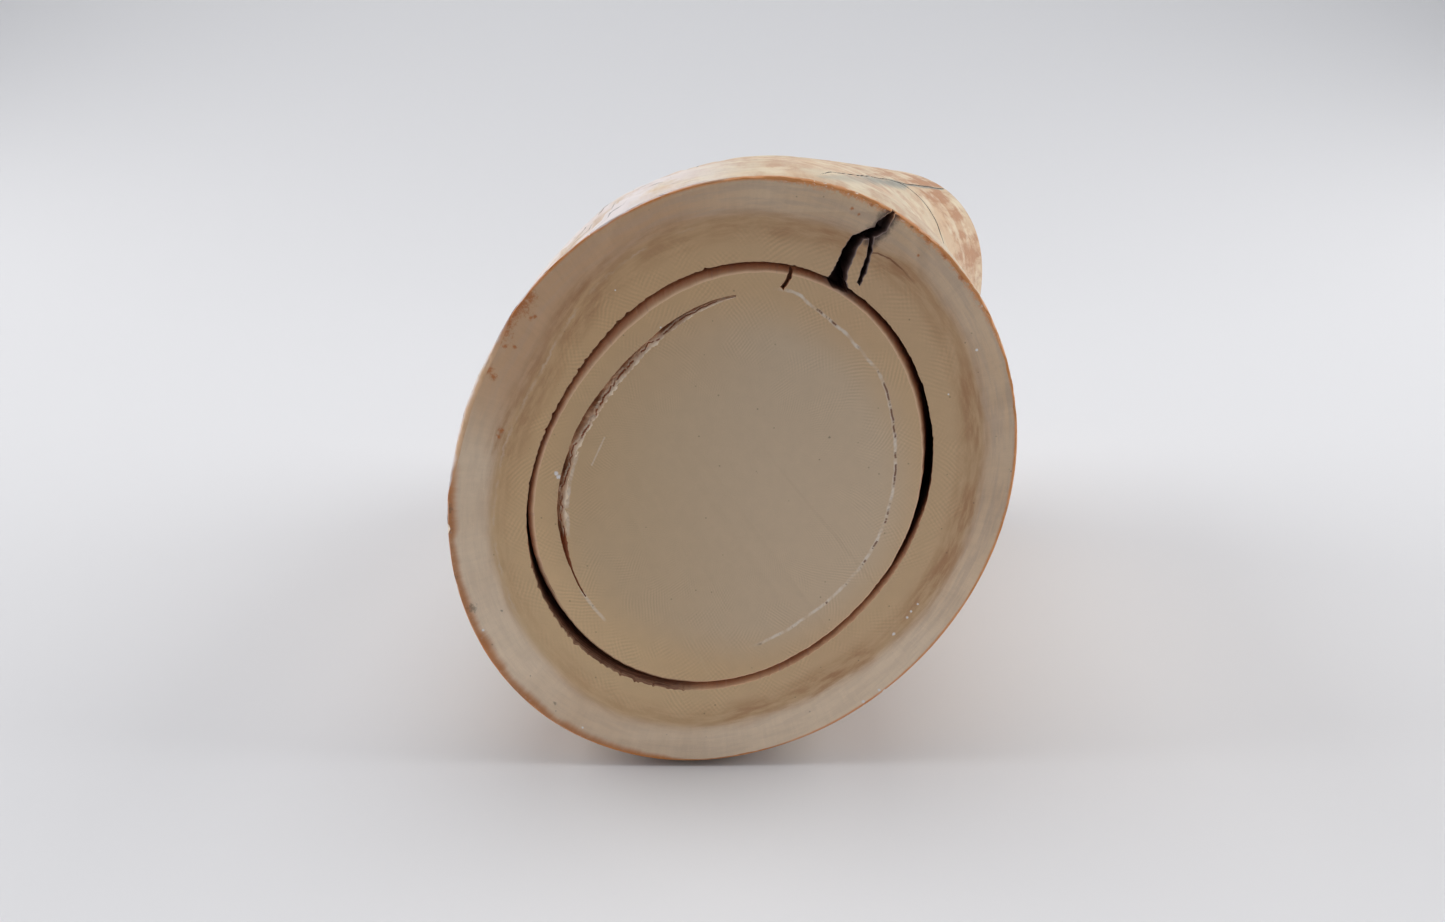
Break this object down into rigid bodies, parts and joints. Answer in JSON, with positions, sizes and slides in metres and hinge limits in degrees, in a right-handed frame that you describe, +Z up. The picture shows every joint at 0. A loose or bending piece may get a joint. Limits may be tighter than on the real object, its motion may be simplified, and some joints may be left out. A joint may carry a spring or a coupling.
{
  "type": "mammoth tusk section",
  "caption": "Sawn length of curved fossil tusk lying on its side, with a cracked oval cut face and worn bark.",
  "frame": {"origin": "middle of the footprint, on the surface that the tusk rests on", "axes": "+Z up, -Y out of the near sawn face, the tusk runs towards +Y and bends towards +X"},
  "size_m": [0.1, 0.164, 0.0861],
  "materials": {
    "tusk": "dry satin dentin on the cuts, worn honey-coloured bark on the sides"
  },
  "bodies": {
    "root": {"tusk_section": "tusk"}
  },
  "joints": []
}
